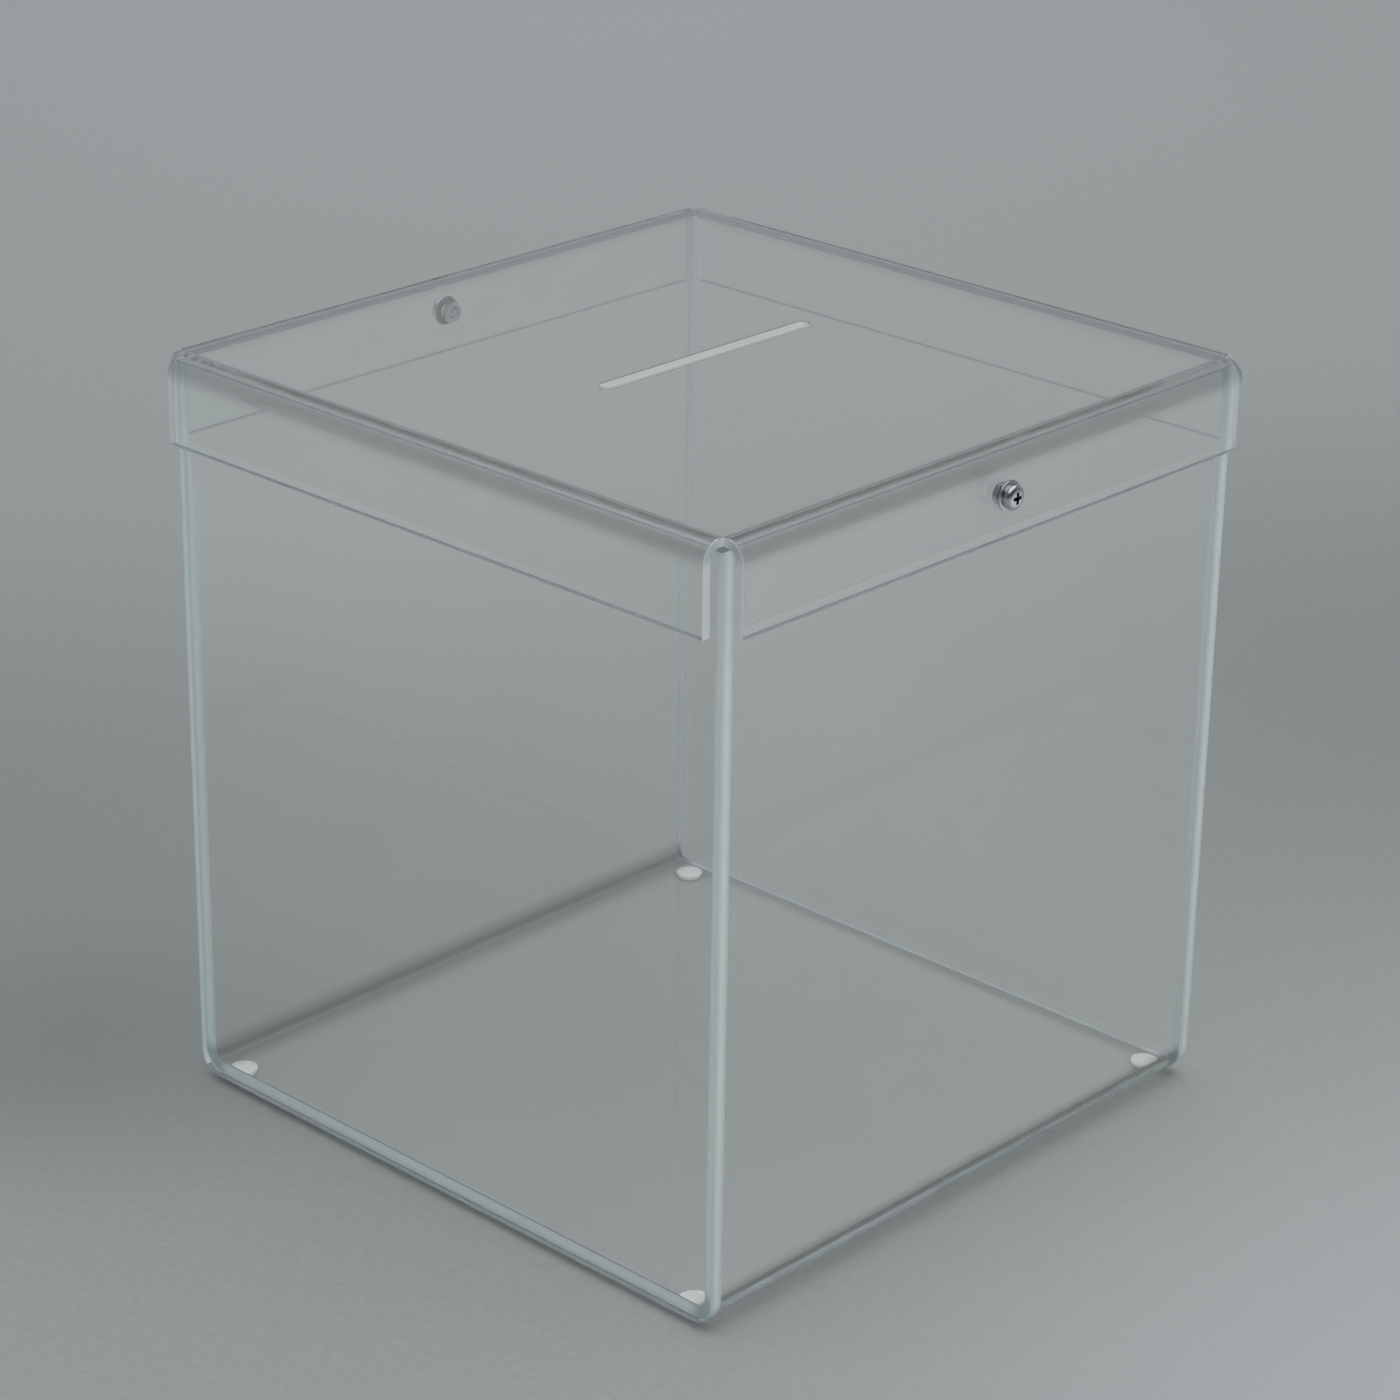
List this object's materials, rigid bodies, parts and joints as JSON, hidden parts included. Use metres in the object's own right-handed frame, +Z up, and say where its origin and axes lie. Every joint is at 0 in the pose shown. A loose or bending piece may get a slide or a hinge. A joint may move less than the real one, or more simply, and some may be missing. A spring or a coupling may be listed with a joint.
{
  "type": "ballot box",
  "caption": "Clear acrylic ballot box with a slotted lift-off lid that screws hold at its bent flanges, on small bumper feet.",
  "frame": {"origin": "middle of the box in X and Y, on the surface that the feet stand on", "axes": "+X along the ballot slot towards the right end panel, +Y from the front wall to the back wall, +Z up"},
  "size_m": [0.314, 0.3234, 0.326],
  "materials": {
    "clear_acrylic": "clear acrylic sheet with polished faces and cut edges",
    "bright_steel": "bright plated steel",
    "clear_bumper": "clear soft bumper"
  },
  "bodies": {
    "box": {"body_shell": "clear_acrylic", "left_end_panel": "clear_acrylic", "right_end_panel": "clear_acrylic", "front_left_foot": "clear_bumper", "front_right_foot": "clear_bumper", "back_left_foot": "clear_bumper", "back_right_foot": "clear_bumper"},
    "lid": {"lid": "clear_acrylic", "front_nut": "bright_steel", "back_nut": "bright_steel"},
    "front_washer": {"front_washer": "bright_steel"},
    "front_screw": {"front_screw": "bright_steel"},
    "back_washer": {"back_washer": "bright_steel"},
    "back_screw": {"back_screw": "bright_steel"}
  },
  "joints": [
    {"name": "lid_lift", "type": "slide", "parent": "box", "child": "lid", "axis": [0, 0, 1], "range_m": [0, 0.12]},
    {"name": "front_screw_travel", "type": "slide", "parent": "lid", "child": "front_washer", "axis": [0, -1, 0], "range_m": [0, 0.0048]},
    {"name": "front_screw_turn", "type": "hinge", "parent": "front_washer", "child": "front_screw", "pos_m": [0, -0.157, 0.3065], "axis": [0, -1, 0], "range_deg": [0, 2160]},
    {"name": "back_screw_travel", "type": "slide", "parent": "lid", "child": "back_washer", "axis": [0, 1, 0], "range_m": [0, 0.0048]},
    {"name": "back_screw_turn", "type": "hinge", "parent": "back_washer", "child": "back_screw", "pos_m": [0, 0.157, 0.3065], "axis": [0, 1, 0], "range_deg": [0, 2160]}
  ],
  "couplings": [
    {"joint": "front_screw_turn", "follows": "front_screw_travel", "rad_per_m": 7854},
    {"joint": "back_screw_turn", "follows": "back_screw_travel", "rad_per_m": 7854}
  ]
}
